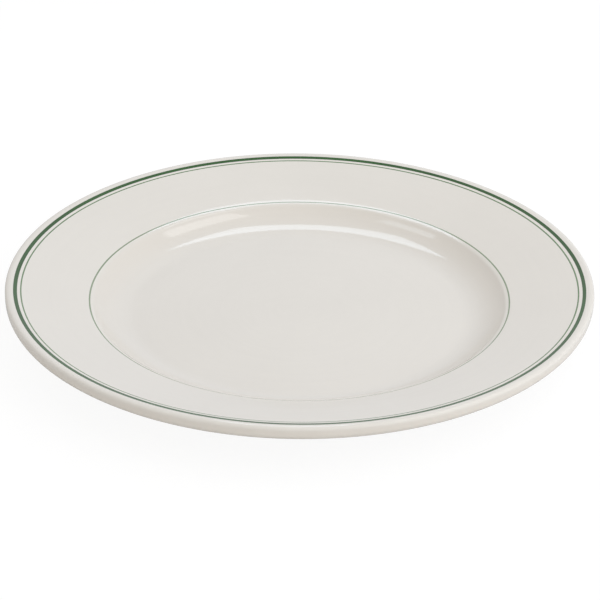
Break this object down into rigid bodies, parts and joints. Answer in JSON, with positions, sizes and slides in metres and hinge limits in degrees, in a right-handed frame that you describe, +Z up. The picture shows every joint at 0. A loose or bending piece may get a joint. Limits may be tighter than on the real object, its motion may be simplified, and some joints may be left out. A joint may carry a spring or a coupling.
{
  "type": "dinner plate",
  "caption": "Round wide-rim china dinner plate with a rolled edge, a coved well, a foot ring and green line decoration, for serving a meal.",
  "frame": {"origin": "centre of the foot ring's bearing plane, which is the table top the plate stands on", "axes": "+Z up, along the plate's axis; the plate is round, so +X and +Y are any two square directions across it"},
  "size_m": [0.2666, 0.2666, 0.0256],
  "materials": {
    "bisque": "matte",
    "glaze": "gloss",
    "green_band": "gloss",
    "green_hairline": "gloss"
  },
  "bodies": {
    "root": {"china_body": "bisque", "outer_glaze": "glaze", "base_glaze": "glaze", "wide_green_band": "green_band", "rim_hairline": "green_hairline", "verge_hairline": "green_hairline"}
  },
  "joints": []
}
